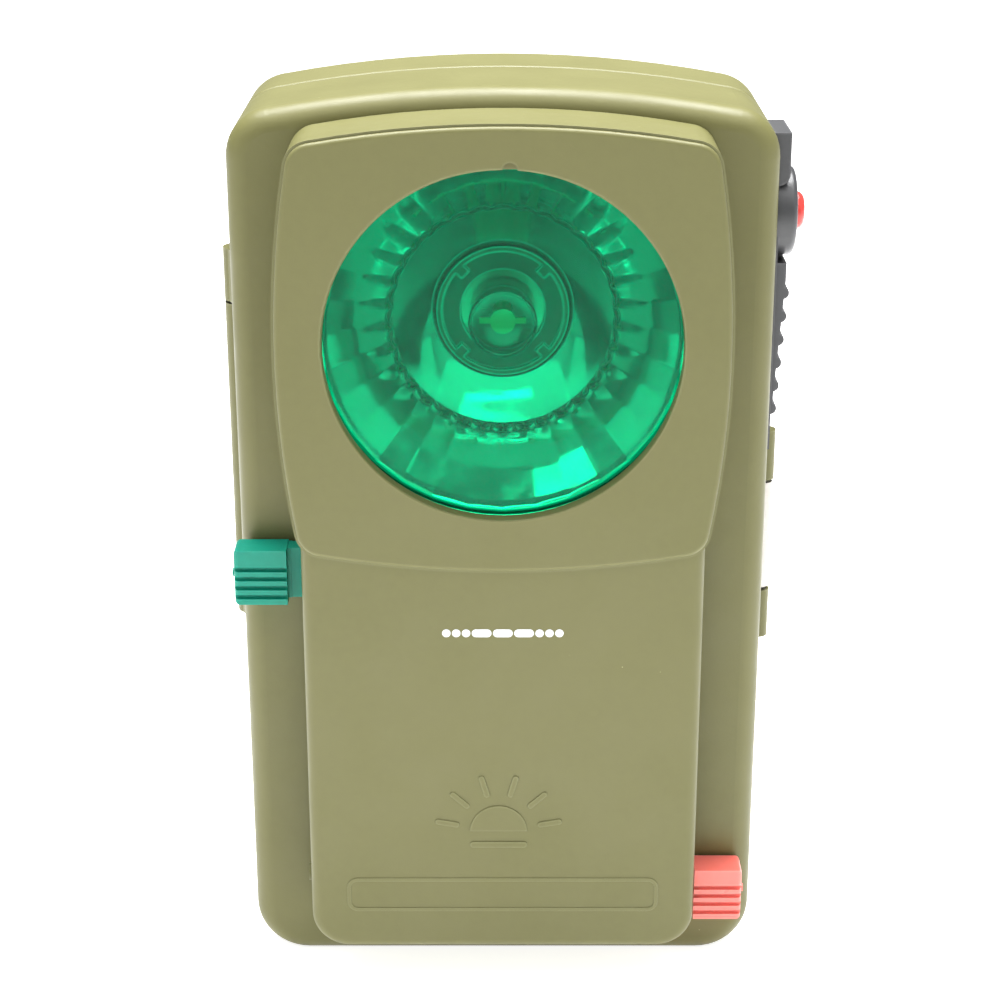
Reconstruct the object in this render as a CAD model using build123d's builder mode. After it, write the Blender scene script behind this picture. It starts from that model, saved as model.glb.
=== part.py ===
from build123d import *
from math import sqrt
import os

os.makedirs("parts", exist_ok=True)

# Hand-held signal torch with two sliding colour filters. Millimetres.
# X is right, -Y is the front that the light leaves, Z is up.
# The origin is the middle of the flat base that the torch stands on.

# ---------------------------------------------------------------- clearances
moving_gap = 0.3         # between pieces that move past each other
shaft_clearance = 0.05   # radial, between a pin or plunger and its running bore
fixed_clearance = 0.02   # radial, between a pin and the bore that holds it
bite = 0.5               # how far a moulded feature reaches into the wall it grows from
cut_over = 1.0           # how far a cut runs past the face it opens

# ---------------------------------------------------------------- case
case_width = 76.0
case_height = 134.0
case_depth = 33.0
case_wall = 2.0
case_crown = 180.0       # radius of the arched top
case_corner = 8.0        # lower corners
case_shoulder = 6.8      # upper corners
case_edge = 3.0          # rounding of the front and rear edges
seam_y = 2.4             # the plane where casing and rear cover meet
seam_edge = 0.6          # rounding of both edges at the seam
half_width = case_width / 2
front_y = -case_depth / 2
rear_y = case_depth / 2
inner_front_y = front_y + case_wall
inner_rear_y = rear_y - case_wall
inner_half_width = half_width - case_wall
casing_end_y = seam_y - moving_gap / 2
lid_start_y = seam_y + moving_gap / 2

# ---------------------------------------------------------------- lamp
lamp_drop = 33.0         # lamp axis below the top of the case
lamp_z = case_height - lamp_drop
window_radius = 24.5
focal_length = 8.8
bowl_vertex_y = -5.0
bowl_rim_y = -20.2
bowl_wall = 1.2
bowl_back_offset = 2.0   # wall of the bowl, measured along the lamp axis
hook_width = 6.0
hook_depth = 1.6
hook_thickness = 1.0
hook_lip = 1.3
hook_gap = 0.1
reflector_rim_radius = 26.1
skirt_radius = 27.0
skirt_wall = 0.9
neck_radius = 9.6
neck_back_y = -1.0
lens_thickness = 1.2
lens_edge = 0.3
bulb_radius = 4.85
glass_wall = 0.5
bulb_flange_radius = 6.75
bulb_shell_radius = 4.65
light_centre_y = bowl_vertex_y - focal_length
collar_radius = 9.5
collar_wall = 0.8
holder_tab = 1.6
holder_tab_depth = 1.2
holder_floor = 0.7
holder_rise = 0.5        # collar above the floor
holder_back_y = 1.0
holder_aperture = 6.0
bulb_flange = 0.5
bulb_flange_offset = 6.6  # emitter ahead of the flange
bulb_shell_end_y = 6.0
bulb_tip_radius = 2.4
bulb_tip_taper = 0.8
dome_setback = 1.0       # centre of the glass dome ahead of the emitter
emitter_radius = 1.8
emitter_thickness = 1.0
post_radius = 0.9
post_flare = 0.5
lead_length = 1.5
lead_width = 0.8
lead_depth = 0.6
flange_y = light_centre_y + bulb_flange_offset
holder_clearance = 0.1   # radial, round the bulb's flange and shell
flange_bore = bulb_flange_radius + holder_clearance
holder_front_y = flange_y - holder_floor - holder_rise

# ---------------------------------------------------------------- front cover
panel_ledge = 9.65       # casing left bare on each side of the panel
panel_margin = 7.7       # casing left bare under the panel
panel_rise = 11.0
panel_corner = 5.5
panel_edge = 1.6
cover_wall = 1.6
cavity_depth = 9.8
bezel_width = 62.5
bezel_height = 63.0
bezel_margin = 2.5       # casing left bare over the bezel
bezel_bow = 150.0        # radius of the four bowed sides
bezel_corner = 4.0
bezel_rise = 12.0
bezel_step = 0.35        # inset of the raised platform
bezel_step_rise = 0.7
bezel_edge = 0.6
window_edge = 0.25
notch_radius = 1.0
notch_offset = 0.9       # notch beside the middle of the window
rail_thickness = 1.2
rail_start = 2.0         # rails begin this far above the slots
stop_nub_radius = 1.3
stop_nub_rise = 0.6
stop_nub_z = 18.0
screw_boss_radius = 2.1
screw_boss_drop = 2.8    # upper screws below the top of the bezel
screw_boss_lift = 6.2    # lower screws above the foot of the panel
upper_screw_offset = 12.0
lower_screw_offset = 14.0
panel_half_width = half_width - panel_ledge
panel_inner_half_width = panel_half_width - cover_wall
cavity_front_y = front_y - cavity_depth
bezel_top = case_height - bezel_margin
bezel_bottom = bezel_top - bezel_height
bezel_middle = (bezel_top + bezel_bottom) / 2

# ---------------------------------------------------------------- filters
filter_thickness = 1.0
filter_gap = 0.2         # between the cover and the outer filter
filter_spacing = 0.4     # between the two filters, and from them to the lens
filter_margin = 0.9      # how far a filter reaches past the window
filter_travel = 51.8
filter_corner = 2.0
filter_clearance = 0.35  # each side, between a filter and the rails
carrier_bar = 4.6        # height of the bar under each filter
leg_width = 1.4
leg_height = 11.6
leg_foot = 4.5
arm_height = 7.6
arm_thickness = 2.7
arm_drop = 2.6           # arm below the leg
arm_gap = 0.5            # between the arm and the front wall of the casing
knob_root = 3.1          # depth of the arm's step under the knob
knob_height = 8.3
knob_drop = 0.5          # knob below the arm
knob_depth = 4.7
knob_corner = 0.7
green_knob_width = 7.6
red_knob_width = 7.2
green_knob_reach = 2.55  # bare arm between the panel and the knob
red_knob_reach = 0.55
groove_count = 4
groove_pitch = 1.4
groove_start = 2.9
groove_depth = 0.55
groove_half_height = 0.36
gate_radius = 0.6        # moulding stub on the outer side of each knob
gate_length = 0.4
green_front_y = cavity_front_y + filter_gap
red_front_y = green_front_y + filter_thickness + filter_spacing
lens_front_y = red_front_y + filter_thickness + filter_spacing
lens_back_y = lens_front_y + lens_thickness
filter_half_height = window_radius + filter_margin
guide_half_width = panel_inner_half_width - filter_clearance
bar_bottom = lamp_z - filter_half_height - carrier_bar
leg_bottom = bar_bottom - leg_height + carrier_bar
arm_bottom = leg_bottom - arm_drop
arm_top = arm_bottom + arm_height
arm_back_y = front_y - arm_gap
arm_front_y = arm_back_y - arm_thickness
knob_bottom = arm_bottom - knob_drop
slot_front_y = arm_front_y - moving_gap
slot_top = arm_top + moving_gap
slot_bottom = arm_bottom - filter_travel - moving_gap

# ---------------------------------------------------------------- hinge and latch
hinge_offset = 0.75      # hinge axis outside the left wall
knuckle_radius = 2.25
hinge_pin_radius = 1.0
hinge_bottom = 50.3
hinge_top = 107.8
lid_knuckle_bottom = 60.5
lid_knuckle_top = 99.5
knuckle_gap = 0.4
knuckle_web = 7.0
hinge_x = -half_width - hinge_offset
latch_pin_offset = 1.25  # latch axis outside the right wall
latch_y = -1.2
latch_pin_radius = 0.6
latch_knuckle_radius = 1.3
lug_radius = 1.5
lug_height = 7.7
lug_web = 5.0
latch_bottom = 55.7
latch_top = 72.6
latch_gap = 0.5
latch_plate = 1.0
latch_plate_offset = 0.2 # plate outside the latch axis
latch_lip = 3.5          # finger lip behind the tooth
latch_flare = 0.5
ridge_end = 1.0          # ridge shorter than the latch at each end
ridge_y = 4.6
ridge_depth = 1.4
ridge_rise = 1.0
latch_tooth = 1.3
latch_x = half_width + latch_pin_offset

# ---------------------------------------------------------------- switch
switch_y = -6.0
boss_radius = 6.3
boss_rise = 3.1
boss_edge = 0.8
boss_z = 115.1
button_radius = 2.7
button_rise = 1.5
button_edge = 1.2
button_flange_radius = 3.9
button_flange = 1.0
button_flange_gap = 0.1
button_roof = 1.0        # boss left over the button's flange
stem_radius = 1.6
button_bay_radius = button_flange_radius + moving_gap
top_block_height = 7.4
top_block_rise = 1.9
top_block_width = 10.0
top_block_lift = 5.6     # block above the boss
top_block_corner = 1.6
frame_rise = 0.5
frame_width = 11.6
frame_rail = 0.6
slider_width = 9.0
slider_length = 22.4
slider_travel = 4.0
slider_rise_low = 0.75
slider_rise_high = 2.0
slider_head = 2.6        # flat part above the ribs
grip_rib_count = 6
grip_rib_pitch = 3.43
grip_rib_radius = 0.9
grip_rib_sink = 0.25     # rib centres inside the slope
leg_thickness = 2.4
leg_span = 4.0
leg_end = 0.7            # slider's leg past the switch base
leg_lift = 13.3          # top of the leg above the foot of the slider
base_thickness = 1.55
base_foot = 8.8
base_head = 7.5
strip = 0.4              # thickness of the brass contact strips
boss_bottom = boss_z - boss_radius
slider_top = boss_bottom - moving_gap
slider_bottom = slider_top - slider_length
base_x = inner_half_width - base_thickness
base_top = boss_z + base_head
slider_leg_top = slider_bottom + leg_lift
slider_leg_bottom = slider_leg_top - leg_span
base_bottom = slider_leg_bottom - base_foot
frame_half_width = frame_width / 2

# ---------------------------------------------------------------- battery
battery_width = 62.0
battery_depth = 22.0
battery_height = 62.0
battery_play = 0.35
battery_foot = 1.2
battery_corner = 1.5
terminal_width = 7.0
terminal_thickness = 0.3
terminal_offset = 16.5
terminal_fold = 0.7
terminal_rise = 3.15     # crest of the terminal above the battery
terminal_tip_drop = 0.85
terminal_foot_y = (6.0, -5.0)
terminal_crest_y = 4.0
terminal_tip_y = 9.0
contact_height = 3.9     # contact strips above the battery
contact_half_width = 3.0
contact_tongue = 4.0     # half width of the tongue behind the bulb
contact_reach = 5.0      # strip past its rivet
contact_rivet_radius = 1.0
contact_rivet_head = 1.8
contact_rivet_rise = 0.5
supply_strap = 1.3
finger_height = 3.0
finger_stand = 2.0       # finger inside the switch base
side_rib_setback = 2.4   # battery ribs in front of the seam
side_rib_depth = 2.0
rib_end_margin = 5.0
pad_rib_offset = 20.0
pad_rib_thickness = 1.4
shelf_thickness = 3.0
shelf_half_width = 24.0
shelf_back_y = 8.0
battery_bottom = case_wall + battery_foot
battery_top = battery_bottom + battery_height
battery_back_y = inner_rear_y - battery_play
battery_front_y = battery_back_y - battery_depth
contact_z = battery_top + contact_height
shelf_bottom = contact_z + strip
bulb_tip_y = shelf_back_y
switch_contact_offset = 2.2   # both contact straps beside the middle of the switch
supply_y = switch_y - frame_half_width + 0.2
finger_x = base_x - finger_stand
bridge_length = 10.0
bridge_width = 8.0
bridge_lead = 2.9        # bridge below the slider's leg
bridge_bottom = slider_leg_bottom - bridge_lead
lower_contact_top = bridge_bottom - 1.2
upper_contact_bottom = bridge_bottom + 3.0
spring_width = 4.0
spring_overlap = 3.4     # spring below the middle of the button

# ---------------------------------------------------------------- fasteners and clip
screw_radius = 0.9
screw_head_radius = 1.9
screw_head = 1.3
screw_slot = 0.5
screw_slot_depth = 0.7
screw_hole_clearance = 0.2
screw_bite = 6.0
screw_hole_spare = 1.0
switch_screw_spread = 5.6
switch_screw_bite = 2.0
switch_screw_head = 1.0
switch_screw_head_radius = 1.6
clip_width = 18.0
clip_thickness = 1.0
clip_gap = 5.0
clip_top = 119.0
clip_seat = 17.0
clip_length = 66.0
clip_bend = 1.6
clip_ramp = 6.0
clip_knee = 9.0          # height of the inward bend above the tip
clip_pinch = 4.0
clip_flare = 1.5
clip_rivet_radius = 1.5
clip_rivet_head = 1.1
clip_rivet_rise = 0.8
clip_rivet_drop = 4.5
clip_rivet_pitch = 8.0


def facing_front(y):
    """The upright sketch plane at depth y: its X is right, its Y is up, and it faces the front."""
    return Plane.XZ.offset(-y)


def block(x_span, y_span, z_span, mode=Mode.ADD):
    """A box from the lower to the upper value along each axis, in the part being built."""
    spans = (x_span, y_span, z_span)
    middle = [(low + high) / 2 for low, high in spans]
    with Locations(tuple(middle)):
        Box(*[high - low for low, high in spans], mode=mode)


def crowned_outline(inset):
    """The case seen from the front, drawn smaller all round by inset."""
    width = case_width - 2 * inset
    height = case_height - 2 * inset
    with BuildSketch() as outline:
        with Locations((0, case_height / 2)):
            Rectangle(width, height)
        with Locations((0, case_height - case_crown)):
            Circle(case_crown - inset, mode=Mode.INTERSECT)
        fillet(outline.vertices().group_by(Axis.Y)[-1], case_shoulder - inset)
        fillet(outline.vertices().group_by(Axis.Y)[0], case_corner - inset)
    return outline.sketch


def bezel_outline(inset):
    """The cushion shape of the bezel, four bowed sides, drawn smaller all round by inset."""
    side = bezel_bow - bezel_width / 2
    with BuildSketch() as outline:
        with Locations((-side, bezel_middle)):
            Circle(bezel_bow - inset)
        with Locations((side, bezel_middle)):
            Circle(bezel_bow - inset, mode=Mode.INTERSECT)
        with Locations((0, bezel_top - bezel_bow)):
            Circle(bezel_bow - inset, mode=Mode.INTERSECT)
        with Locations((0, bezel_bottom + bezel_bow)):
            Circle(bezel_bow - inset, mode=Mode.INTERSECT)
        fillet(outline.vertices(), bezel_corner - inset)
    return outline.sketch


def bowl_radius(y):
    """Inner radius of the parabolic bowl at depth y."""
    return sqrt(4 * focal_length * (bowl_vertex_y - y))


def bowl_depth(radius):
    """Depth y of the parabolic bowl at a radius."""
    return bowl_vertex_y - radius ** 2 / (4 * focal_length)


def turned(profile_points):
    """A ring turned about the lamp axis from (radius, y) corners, in the part being built."""
    with BuildSketch(Plane.XY.offset(lamp_z), mode=Mode.PRIVATE) as profile:
        Polygon(*profile_points, align=None)
    revolve(profile.sketch, axis=lamp_axis)


def keep(builder, name):
    """Labels a finished piece and writes it to its own STEP file."""
    builder.part.label = name
    export_step(builder.part, f"parts/{name}.step")


lamp_axis = Axis((0, 0, lamp_z), (0, 1, 0))
lamp_hole_radius = bowl_radius(front_y) + bowl_wall + 1.2
case_shape = crowned_outline(0)
case_cavity = crowned_outline(case_wall)
bezel_shape = bezel_outline(0)
bezel_platform = bezel_outline(bezel_step)
bezel_cavity = bezel_outline(cover_wall)
upper_screw_z = bezel_top - screw_boss_drop
lower_screw_z = panel_margin + screw_boss_lift
cover_screw_points = [(-upper_screw_offset, upper_screw_z), (upper_screw_offset, upper_screw_z)]
cover_screw_points += [(-lower_screw_offset, lower_screw_z), (lower_screw_offset, lower_screw_z)]
switch_screw_heights = [boss_z - switch_screw_spread, boss_z + switch_screw_spread]
rivet_points = [(0, clip_top - clip_rivet_drop), (0, clip_top - clip_rivet_drop - clip_rivet_pitch)]
contact_rivet_points = [(-terminal_offset, 0), (terminal_offset, 0)]
lid_knuckle = (lid_knuckle_bottom, lid_knuckle_top)
casing_knuckles = [(hinge_bottom, lid_knuckle_bottom - knuckle_gap)]
casing_knuckles += [(lid_knuckle_top + knuckle_gap, hinge_top)]
lugs = [(latch_bottom - latch_gap - lug_height, latch_bottom - latch_gap)]
lugs += [(latch_top + latch_gap, latch_top + latch_gap + lug_height)]


# ================================================================ shells
# Casing: an open box that carries every other piece.
with BuildPart() as front_casing:
    with BuildSketch(facing_front(casing_end_y)):
        add(case_shape)
    extrude(amount=casing_end_y - front_y)
    fillet(front_casing.faces().sort_by(Axis.Y)[0].edges(), case_edge)
    fillet(front_casing.faces().sort_by(Axis.Y)[-1].edges(), seam_edge)
    with BuildSketch(facing_front(casing_end_y)):
        add(case_cavity)
    extrude(amount=casing_end_y - inner_front_y, mode=Mode.SUBTRACT)
    # ribs that hold the battery, and the shelf that carries the contacts
    for side in (-1, 1):
        rib_x = sorted((side * (battery_width / 2 + battery_play), side * (inner_half_width + bite)))
        pad_middle = side * pad_rib_offset
        pad_x = (pad_middle - pad_rib_thickness / 2, pad_middle + pad_rib_thickness / 2)
        rib_z = (battery_bottom + rib_end_margin, battery_top - rib_end_margin)
        rib_back_y = seam_y - side_rib_setback
        block(rib_x, (rib_back_y - side_rib_depth, rib_back_y), rib_z)
        block(pad_x, (inner_front_y - bite, battery_front_y), rib_z)
        block(pad_x, (inner_front_y - bite, casing_end_y), (case_wall - bite, battery_bottom))
    block((-shelf_half_width, shelf_half_width), (inner_front_y - bite, shelf_back_y),
          (shelf_bottom, shelf_bottom + shelf_thickness))
    # hinge knuckles on the left, with room for the rear cover's knuckle between them
    for low, high in casing_knuckles:
        with BuildSketch(Plane.XY.offset(low)):
            with Locations((hinge_x, seam_y)):
                Circle(knuckle_radius)
            Polygon((hinge_x - knuckle_radius, seam_y), (-half_width + bite, casing_end_y),
                    (-half_width + bite, seam_y - knuckle_web), align=None)
        extrude(amount=high - low)
        with BuildSketch(Plane.XY.offset(low)):
            with Locations((hinge_x, seam_y)):
                Circle(hinge_pin_radius + fixed_clearance)
        extrude(amount=high - low, mode=Mode.SUBTRACT)
    with BuildSketch(Plane.XY.offset(lid_knuckle_bottom - knuckle_gap)):
        with Locations((hinge_x, seam_y)):
            Circle(knuckle_radius + moving_gap)
    extrude(amount=lid_knuckle_top - lid_knuckle_bottom + 2 * knuckle_gap, mode=Mode.SUBTRACT)
    # latch lugs on the right, with room for the latch's knuckle between them
    for low, high in lugs:
        with BuildSketch(Plane.XY.offset(low)):
            with Locations((latch_x, latch_y)):
                Circle(lug_radius)
            Polygon((half_width - bite, latch_y - lug_web), (latch_x, latch_y - lug_radius),
                    (latch_x, latch_y + lug_radius), (half_width - bite, casing_end_y), align=None)
            with Locations((latch_x, latch_y)):
                Circle(latch_pin_radius + fixed_clearance, mode=Mode.SUBTRACT)
        extrude(amount=high - low)
    with BuildSketch(Plane.XY.offset(latch_bottom - latch_gap)):
        with Locations((latch_x, latch_y)):
            Circle(latch_knuckle_radius + moving_gap)
    extrude(amount=latch_top - latch_bottom + 2 * latch_gap, mode=Mode.SUBTRACT)
    # lamp opening and cover screw holes in the front wall
    with BuildSketch(facing_front(inner_front_y)):
        with Locations((0, lamp_z)):
            Circle(lamp_hole_radius)
        with Locations(*cover_screw_points):
            Circle(screw_radius + screw_hole_clearance)
    extrude(amount=case_wall, mode=Mode.SUBTRACT)
    # holes in the right wall for the signal button, the switch slider's leg and the switch screws
    with BuildSketch(Plane.YZ.offset(inner_half_width)):
        with Locations((switch_y, boss_z)):
            Circle(button_bay_radius)
        with Locations((switch_y, slider_leg_bottom + (leg_span - slider_travel) / 2)):
            Rectangle(leg_thickness + 2 * moving_gap, leg_span + slider_travel + 2 * moving_gap)
        with Locations(*[(switch_y, z) for z in switch_screw_heights]):
            Circle(screw_radius)
    extrude(amount=case_wall, mode=Mode.SUBTRACT)
    # holes for the rivets of the contact strips
    with BuildSketch(Plane.XY.offset(shelf_bottom)):
        with Locations(*contact_rivet_points):
            Circle(contact_rivet_radius + fixed_clearance)
    extrude(amount=shelf_thickness, mode=Mode.SUBTRACT)
keep(front_casing, "front_casing")

# Rear cover: the battery door, hinged on the left.
with BuildPart() as rear_cover:
    with BuildSketch(facing_front(rear_y)):
        add(case_shape)
    extrude(amount=rear_y - lid_start_y)
    fillet(rear_cover.faces().sort_by(Axis.Y)[-1].edges(), case_edge)
    fillet(rear_cover.faces().sort_by(Axis.Y)[0].edges(), seam_edge)
    with BuildSketch(facing_front(inner_rear_y)):
        add(case_cavity)
    extrude(amount=inner_rear_y - lid_start_y, mode=Mode.SUBTRACT)
    for low, high in casing_knuckles:
        with BuildSketch(Plane.XY.offset(low - knuckle_gap)):
            with Locations((hinge_x, seam_y)):
                Circle(knuckle_radius + moving_gap)
        extrude(amount=high - low + 2 * knuckle_gap, mode=Mode.SUBTRACT)
    low, high = lid_knuckle
    with BuildSketch(Plane.XY.offset(low)):
        with Locations((hinge_x, seam_y)):
            Circle(knuckle_radius)
        Polygon((hinge_x - knuckle_radius, seam_y), (-half_width + bite, lid_start_y),
                (-half_width + bite, seam_y + knuckle_web), align=None)
    extrude(amount=high - low)
    with BuildSketch(Plane.XY.offset(low)):
        with Locations((hinge_x, seam_y)):
            Circle(hinge_pin_radius + shaft_clearance)
    extrude(amount=high - low, mode=Mode.SUBTRACT)
    block((half_width - bite, half_width + ridge_rise), (ridge_y, ridge_y + ridge_depth),
          (latch_bottom + ridge_end, latch_top - ridge_end))
    with BuildSketch(facing_front(rear_y)):
        with Locations(*rivet_points):
            Circle(clip_rivet_radius + fixed_clearance)
    extrude(amount=case_wall, mode=Mode.SUBTRACT)
keep(rear_cover, "rear_cover")

# Front cover: the raised panel with the bezel, hollow behind for the filters.
with BuildPart() as front_cover:
    with BuildSketch(facing_front(front_y)) as panel:
        with Locations((0, (panel_margin + bezel_middle) / 2)):
            Rectangle(2 * panel_half_width, bezel_middle - panel_margin)
        fillet(panel.vertices().group_by(Axis.Z)[0], panel_corner)
    extrude(amount=panel_rise)
    fillet(front_cover.faces().sort_by(Axis.Y)[0].edges(), panel_edge)
    with BuildSketch(facing_front(front_y)):
        add(bezel_shape)
    extrude(amount=bezel_rise - bezel_step_rise)
    with BuildSketch(facing_front(front_y)):
        add(bezel_platform)
    extrude(amount=bezel_rise)
    fillet(front_cover.faces().sort_by(Axis.Y)[0].edges(), bezel_edge)
    with BuildSketch(facing_front(front_y)):
        with Locations((0, (panel_margin + cover_wall + bezel_middle) / 2)):
            Rectangle(2 * panel_inner_half_width, bezel_middle - panel_margin - cover_wall)
        add(bezel_cavity)
    extrude(amount=cavity_depth, mode=Mode.SUBTRACT)
    # rails that keep the filters upright behind the bezel
    for side in (-1, 1):
        rail_x = sorted((side * panel_inner_half_width, side * (panel_inner_half_width + rail_thickness)))
        block(rail_x, (cavity_front_y, lens_front_y), (slot_top + rail_start, lamp_z + filter_half_height))
    # window, with a rounded edge and a half-round notch at its top
    with BuildSketch(facing_front(cavity_front_y)):
        with Locations((0, lamp_z)):
            Circle(window_radius)
    extrude(amount=bezel_rise, mode=Mode.SUBTRACT)
    rim = front_cover.edges().filter_by(GeomType.CIRCLE)
    rim = rim.filter_by(lambda edge: abs(edge.radius - window_radius) < 0.01)
    fillet(rim.sort_by(Axis.Y)[0], window_edge)
    with BuildSketch(facing_front(cavity_front_y)):
        with Locations((notch_offset, lamp_z + window_radius)):
            Circle(notch_radius)
    extrude(amount=bezel_rise, mode=Mode.SUBTRACT)
    # slots in both side walls that the arms of the filter carriers run in
    for side in (-1, 1):
        slot_x = sorted((side * (panel_inner_half_width - cut_over), side * (panel_half_width + cut_over)))
        block(slot_x, (slot_front_y, front_y), (slot_bottom, slot_top), mode=Mode.SUBTRACT)
    # small stop on the left wall, in front of the slot
    with BuildSketch(Plane.YZ.offset(-panel_half_width + bite)):
        with Locations((slot_front_y - 2 * stop_nub_radius, stop_nub_z)):
            Circle(stop_nub_radius)
    extrude(amount=-bite - stop_nub_rise)
    # screw bosses
    with BuildSketch(facing_front(front_y)):
        with Locations(*cover_screw_points):
            Circle(screw_boss_radius)
    extrude(amount=cavity_depth)
    with BuildSketch(facing_front(front_y)):
        with Locations(*cover_screw_points):
            Circle(screw_radius + fixed_clearance)
    extrude(amount=screw_bite + screw_hole_spare, mode=Mode.SUBTRACT)
keep(front_cover, "front_cover")


# ================================================================ filters
def filter_plate(front, left_edge, drop):
    """A flat coloured window, drop below its place in front of the lamp."""
    with BuildPart() as plate:
        with BuildSketch(facing_front(front + filter_thickness)) as outline:
            with Locations(((left_edge + guide_half_width) / 2, lamp_z - drop)):
                Rectangle(guide_half_width - left_edge, 2 * filter_half_height)
            fillet(outline.vertices().group_by(Axis.Z)[-1], filter_corner)
        extrude(amount=filter_thickness)
    return plate


def filter_carrier(side, front, left_edge, drop, knob_reach, knob_width):
    """The bar under a filter, its leg and arm, and the ribbed thumb knob at one side."""
    edge = side * guide_half_width
    leg_inner = side * (guide_half_width - leg_width)
    knob_inner = side * (panel_half_width + knob_reach)
    knob_outer = side * (panel_half_width + knob_reach + knob_width)
    knob_back = front_y - moving_gap
    knob_front = knob_back - knob_depth
    with BuildPart() as carrier:
        block((left_edge, guide_half_width), (front, front + filter_thickness),
              (bar_bottom - drop, bar_bottom + carrier_bar - drop))
        block(sorted((leg_inner, edge)), (front, arm_back_y),
              (leg_bottom - drop, leg_bottom + leg_foot - drop))
        block(sorted((leg_inner, edge)), (front, front + filter_thickness),
              (leg_bottom - drop, bar_bottom + bite - drop))
        block(sorted((leg_inner, knob_inner)), (arm_front_y, arm_back_y),
              (arm_bottom - drop, arm_top - drop))
        block(sorted((knob_inner - side * bite, knob_outer - side * knob_corner)),
              (knob_back - knob_root, knob_back), (arm_bottom - drop, arm_top - drop))
    with BuildPart() as knob:
        block(sorted((knob_inner, knob_outer)), (knob_front, knob_back),
              (knob_bottom - drop, knob_bottom + knob_height - drop))
        outer_face = knob.faces().sort_by(Axis.X)[0 if side < 0 else -1]
        fillet(outer_face.edges().filter_by(Axis.Z) + outer_face.edges().filter_by(Axis.Y), knob_corner)
        with BuildSketch(Plane.YZ.offset(knob_inner)):
            for number in range(groove_count):
                groove_z = knob_bottom + knob_height - groove_start - number * groove_pitch - drop
                with Locations((knob_front, groove_z)):
                    Ellipse(groove_depth, groove_half_height)
        extrude(amount=side * knob_width, mode=Mode.SUBTRACT)
        with BuildSketch(Plane.YZ.offset(knob_outer - side * bite)):
            with Locations(((knob_front + knob_back) / 2, knob_bottom + knob_height / 2 - drop)):
                Circle(gate_radius)
        extrude(amount=side * (gate_length + bite))
    with BuildPart() as slider:
        add(carrier.part)
        add(knob.part)
    return slider


green_filter = filter_plate(green_front_y, -guide_half_width, 0)
keep(green_filter, "green_filter")
green_slider = filter_carrier(-1, green_front_y, -guide_half_width, 0, green_knob_reach, green_knob_width)
keep(green_slider, "green_slider")
red_left_edge = -guide_half_width + leg_width + moving_gap
red_filter = filter_plate(red_front_y, red_left_edge, filter_travel)
keep(red_filter, "red_filter")
red_slider = filter_carrier(1, red_front_y, red_left_edge, filter_travel, red_knob_reach, red_knob_width)
keep(red_slider, "red_slider")

# ================================================================ lamp
# Clear lens, seated on the rim of the reflector.
with BuildPart() as clear_lens:
    with BuildSketch(facing_front(lens_back_y)):
        with Locations((0, lamp_z)):
            Circle(skirt_radius)
    extrude(amount=lens_thickness)
    fillet(clear_lens.faces().sort_by(Axis.Y)[0].edges(), lens_edge)
keep(clear_lens, "clear_lens")

# Reflector: parabolic bowl, deep rim, skirt that stands on the casing, neck for the lamp holder.
with BuildPart() as reflector:
    neck_y = bowl_depth(neck_radius)
    bowl_radius_at_rim = bowl_radius(bowl_rim_y)
    middle_radius = (neck_radius + bowl_radius_at_rim) / 2
    middle_y = bowl_vertex_y - neck_radius * bowl_radius_at_rim / (4 * focal_length)
    neck_back_radius = neck_radius + bowl_wall
    with BuildSketch(Plane.XY.offset(lamp_z)):
        with BuildLine():
            Bezier((neck_radius, neck_y), (middle_radius, middle_y), (bowl_radius_at_rim, bowl_rim_y))
            Polyline((bowl_radius_at_rim, bowl_rim_y), (reflector_rim_radius, bowl_rim_y),
                     (reflector_rim_radius, lens_back_y), (skirt_radius, lens_back_y),
                     (skirt_radius, front_y), (skirt_radius - skirt_wall, front_y),
                     (skirt_radius - skirt_wall, bowl_rim_y + bowl_wall),
                     (bowl_radius_at_rim + bowl_wall, bowl_rim_y + bowl_wall),
                     (bowl_radius_at_rim, bowl_rim_y + bowl_back_offset))
            Bezier((bowl_radius_at_rim, bowl_rim_y + bowl_back_offset),
                   (middle_radius + bowl_wall / 2, middle_y + bowl_back_offset),
                   (neck_back_radius, neck_y + bowl_back_offset))
            Polyline((neck_back_radius, neck_y + bowl_back_offset), (neck_back_radius, neck_back_y),
                     (neck_radius, neck_back_y), (neck_radius, neck_y))
        make_face()
    revolve(axis=lamp_axis)
    # hooks that snap behind the casing wall
    hook_y = inner_front_y + hook_depth
    hook_outer = lamp_hole_radius - bite
    with BuildSketch(facing_front(hook_y)):
        with Locations((0, lamp_z)):
            with PolarLocations(hook_outer - hook_thickness / 2, 4, start_angle=45):
                Rectangle(hook_thickness, hook_width)
    extrude(amount=hook_y - front_y + bite)
    with BuildSketch(facing_front(hook_y)):
        with Locations((0, lamp_z)):
            with PolarLocations(hook_outer, 4, start_angle=45):
                Rectangle(2 * hook_lip, hook_width)
    extrude(amount=hook_y - inner_front_y - hook_gap)
keep(reflector, "reflector")

# Lamp holder: a plug in the reflector's neck, with a raised collar and four small tabs.
with BuildPart() as lamp_holder:
    collar_bore = collar_radius - collar_wall
    turned([(collar_bore, holder_front_y), (collar_radius, holder_front_y),
            (collar_radius, holder_back_y), (flange_bore, holder_back_y), (flange_bore, flange_y),
            (holder_aperture, flange_y), (holder_aperture, flange_y - holder_floor),
            (collar_bore, flange_y - holder_floor)])
    with BuildSketch(facing_front(flange_y - holder_floor)):
        with Locations((0, lamp_z)):
            with PolarLocations(collar_bore - holder_tab_depth / 2 + bite / 2, 4, start_angle=45):
                Rectangle(holder_tab_depth + bite, holder_tab)
    extrude(amount=holder_rise)
keep(lamp_holder, "lamp_holder")

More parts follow.
